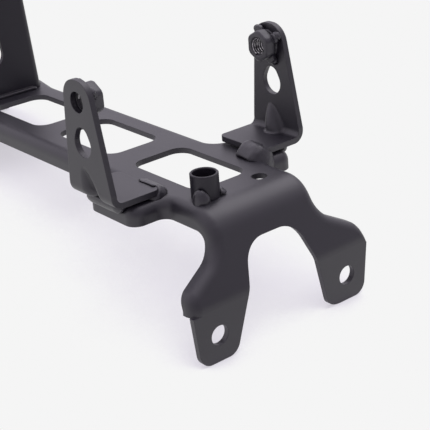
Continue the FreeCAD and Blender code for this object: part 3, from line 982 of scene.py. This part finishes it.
@dataclass
class Bracket:
    """The welded bracket as the CAD frame gives it, with its finishes."""

    sheet: CoatFinish = SHEET_COAT
    tube: CoatFinish = TUBE_COAT
    nut: CoatFinish = NUT_COAT
    weld: CoatFinish = WELD_COAT

    def finish_of(self, node: str) -> CoatFinish:
        """The finish that a node takes.

        Args:
            node: The CAD node's name.

        Returns:
            The finish for its kind of metal.
        """
        if node.endswith("_weld"):
            return self.weld
        if node.endswith("_nut"):
            return self.nut
        if node in ("locating_tube", "rear_upright"):
            return self.tube
        return self.sheet

    def dress(self, forge: Forge, nodes: dict[str, bpy.types.Object]) -> None:
        """Gives every CAD node its finish and builds what the CAD pieces stand in for.

        Args:
            forge: What makes materials and objects.
            nodes: The CAD nodes by name.
        """
        for name, node in nodes.items():
            finish = self.finish_of(name)
            forge.dress(node, finish)
            LOG.info("dressed %s with %s", name, finish.name)
        BridgeSheet().build(forge, nodes["bridge_plate"])
        for side in Side:
            TabDart(side).build(forge, nodes[f"{side.word}_tab"])
            WeldNut(side).build(forge)
        for place, bead in enumerate(BEADS):
            bead.build(forge, nodes[bead.node], BEAD_SEED_STEP * place)


@dataclass
class StudioFloor:
    """The pale floor that carries the bracket on its ears and its rear edge."""

    half: float = 1.6
    rise: float = 0.0
    near: float = 0.0
    low: float = 0.0
    colour: tuple[float, float, float] = (0.90, 0.885, 0.93)
    backdrop: tuple[float, float, float] = (0.913, 0.913, 0.913)
    # Painted shadow tint that the glow takes near the bracket.
    shade: tuple[float, float, float] = (0.930, 0.905, 0.965)
    shade_share: float = 0.56
    shade_reach: float = 120 * MM
    shade_samples: int = 16
    shade_from: float = 0.735
    shade_full: float = 0.56
    rear_from: float = 50 * MM
    foot_digits: int = 5

    def lay_under(self, sheet: bpy.types.Object) -> None:
        """Finds the plane on which the bridge sheet rests.

        Args:
            sheet: The CAD node of the bridge sheet.
        """
        points = [vertex.co for vertex in sheet.data.vertices]
        foot = min(points, key=lambda point: (round(point.z, self.foot_digits), -point.y))
        behind = [point for point in points if point.y > foot.y + self.rear_from]
        self.near, self.low = foot.y, foot.z
        self.rise = min((point.z - foot.z) / (point.y - foot.y) for point in behind)

    @property
    def normal(self) -> Vector:
        """The floor's upward direction."""
        return Vector((0.0, -self.rise, 1.0)).normalized()

    def build(self) -> bpy.types.Object:
        """Builds the floor.

        Returns:
            The floor.
        """
        shape = bmesh.new()
        turn = self.normal.to_track_quat("Z", "Y").to_matrix().to_4x4()
        place = Matrix.Translation((0.0, self.near, self.low)) @ turn
        bmesh.ops.create_grid(shape, x_segments=1, y_segments=1, size=self.half, matrix=place)
        mesh = bpy.data.meshes.new("studio_floor")
        shape.to_mesh(mesh)
        shape.free()
        floor = bpy.data.objects.new("studio_floor", mesh)
        bpy.context.scene.collection.objects.link(floor)
        mesh.materials.append(self._material())
        return floor

    def _material(self) -> bpy.types.Material:
        """The floor's matt pale finish, open from below.

        Away from the bracket it is an even backdrop. Near it the glow takes a painted violet
        shadow tint, and the paper and its shadow come through.

        Returns:
            The finished material.
        """
        made = bpy.data.materials.new("pale_floor")
        made.use_nodes = True
        graph = Graph(made.node_tree)
        back = graph.node("ShaderNodeNewGeometry", {}, {}, "Backfacing")
        paper = graph.node("ShaderNodeBsdfDiffuse", {}, {"Color": (*self.colour, 1.0)})
        samples = {"samples": self.shade_samples}
        near = {"Distance": self.shade_reach}
        sky = graph.node("ShaderNodeAmbientOcclusion", samples, near, "AO")
        reach = {"Value": sky, "From Min": self.shade_full, "From Max": self.shade_from}
        away = graph.node("ShaderNodeMapRange", {"interpolation_type": "SMOOTHSTEP"}, reach)
        # Near the bracket the glow turns to the shade colour: a painted shadow tint.
        tone = graph.mixed(away, self.shade, self.backdrop)
        glow = graph.node("ShaderNodeEmission", {}, {"Color": tone, "Strength": 1.0})
        clear = graph.node("ShaderNodeBsdfTransparent")
        seen = graph.node("ShaderNodeLightPath", {}, {}, "Is Camera Ray")
        seen = seen + graph.node("ShaderNodeLightPath", {}, {}, "Is Glossy Ray")
        seen = (seen + graph.node("ShaderNodeLightPath", {}, {}, "Is Transmission Ray")).clamped()
        share = seen * (away * (1.0 - self.shade_share) + self.shade_share)
        pale = graph.node("ShaderNodeMixShader", {}, {0: share, 1: paper, 2: glow})
        surface = graph.node("ShaderNodeMixShader", {}, {0: back, 1: pale, 2: clear})
        graph.node("ShaderNodeOutputMaterial", {}, {"Surface": surface})
        return made


def towards(heading: float, height: float) -> Vector:
    """A direction in the frame's axes.

    Args:
        heading: Angle from +Y towards +X.
        height: Angle above the horizon.

    Returns:
        The direction, of length one.
    """
    flat = math.cos(height)
    return Vector((math.sin(heading) * flat, math.cos(heading) * flat, math.sin(height)))


@dataclass(frozen=True)
class BroadLamp:
    """A far lamp, wide enough to throw soft shadows."""

    name: str
    strength: float
    heading: float
    height: float
    spread: float = math.radians(45)
    colour: tuple[float, float, float] = (1.0, 1.0, 1.0)

    def hang(self) -> None:
        """Adds the lamp to the scene."""
        lamp = bpy.data.lights.new(self.name, "SUN")
        lamp.energy = self.strength
        lamp.angle = self.spread
        lamp.color = self.colour
        holder = bpy.data.objects.new(self.name, lamp)
        bpy.context.scene.collection.objects.link(holder)
        source = towards(self.heading, self.height)
        holder.matrix_world = source.to_track_quat("Z", "Y").to_matrix().to_4x4()


LAMPS = (
    BroadLamp("right_lamp", 0.70, math.radians(80), math.radians(60)),
    BroadLamp("left_lamp", 0.14, math.radians(-70), math.radians(25), math.radians(60)),
)


@dataclass
class SoftStudio:
    """Plain soft light: a pale dome and two broad lamps."""

    dome_low: float = 0.36
    dome_high: float = 1.14
    glow_heading: float = math.radians(15)
    glow_height: float = math.radians(50)
    tint: tuple[float, float, float] = (1.02, 0.975, 1.08)
    lamps: tuple[BroadLamp, ...] = LAMPS

    def light(self) -> None:
        """Sets up the world and the lamps."""
        self._dome()
        for lamp in self.lamps:
            lamp.hang()

    def _dome(self) -> None:
        """A pale dome, brightest high behind the bracket."""
        world = bpy.data.worlds.new("studio_dome")
        bpy.context.scene.world = world
        world.use_nodes = True
        graph = Graph(world.node_tree)
        place = graph.node("ShaderNodeTexCoord", {}, {}, "Generated")
        glow = towards(self.glow_heading, self.glow_height)
        both = {0: place, 1: glow}
        along = graph.node("ShaderNodeVectorMath", {"operation": "DOT_PRODUCT"}, both, "Value")
        share = (along * 0.5 + 0.5).clamped()
        level = self.dome_low + share * share * (self.dome_high - self.dome_low)
        dome = graph.node("ShaderNodeBackground", {}, {"Color": (*self.tint, 1.0), "Strength": level})
        graph.node("ShaderNodeOutputWorld", {}, {"Surface": dome})


@dataclass
class PhotoCamera:
    """The camera at the photograph's place, level with the floor."""

    place: Vector = Vector((-301.15, -403.64, 198.44)) * MM
    heading: float = math.radians(37.864)
    dip: float = math.radians(23.818)
    focal_pixels: float = 1232.0
    picture_pixels: float = 430.0
    sensor: float = 36.0

    def build(self, floor_up: Vector) -> bpy.types.Object:
        """Builds the camera.

        Args:
            floor_up: The floor's upward direction, which is upright in the picture.

        Returns:
            The camera, set as the scene's own.
        """
        data = bpy.data.cameras.new("photo_camera")
        data.sensor_width = self.sensor
        data.lens = self.sensor * self.focal_pixels / self.picture_pixels
        camera = bpy.data.objects.new("photo_camera", data)
        bpy.context.scene.collection.objects.link(camera)
        ahead = towards(self.heading, -self.dip)
        right = ahead.cross(floor_up).normalized()
        up = right.cross(ahead)
        turn = Matrix((right, up, -ahead)).transposed().to_4x4()
        camera.matrix_world = Matrix.Translation(self.place) @ turn
        bpy.context.scene.camera = camera
        return camera


def main() -> None:
    """Loads the frame, dresses it and lights it."""
    logging.basicConfig(level=logging.INFO, format="%(name)s: %(message)s")
    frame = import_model()
    nodes = frame["nodes"]
    Bracket().dress(Forge(), nodes)
    floor = StudioFloor()
    floor.lay_under(nodes["bridge_plate"])
    floor.build()
    LOG.info("floor rises by %.4f towards the rear", floor.rise)
    SoftStudio().light()
    PhotoCamera().build(floor.normal)
    bpy.context.scene.view_settings.view_transform = "Standard"


if __name__ == "__main__":
    main()
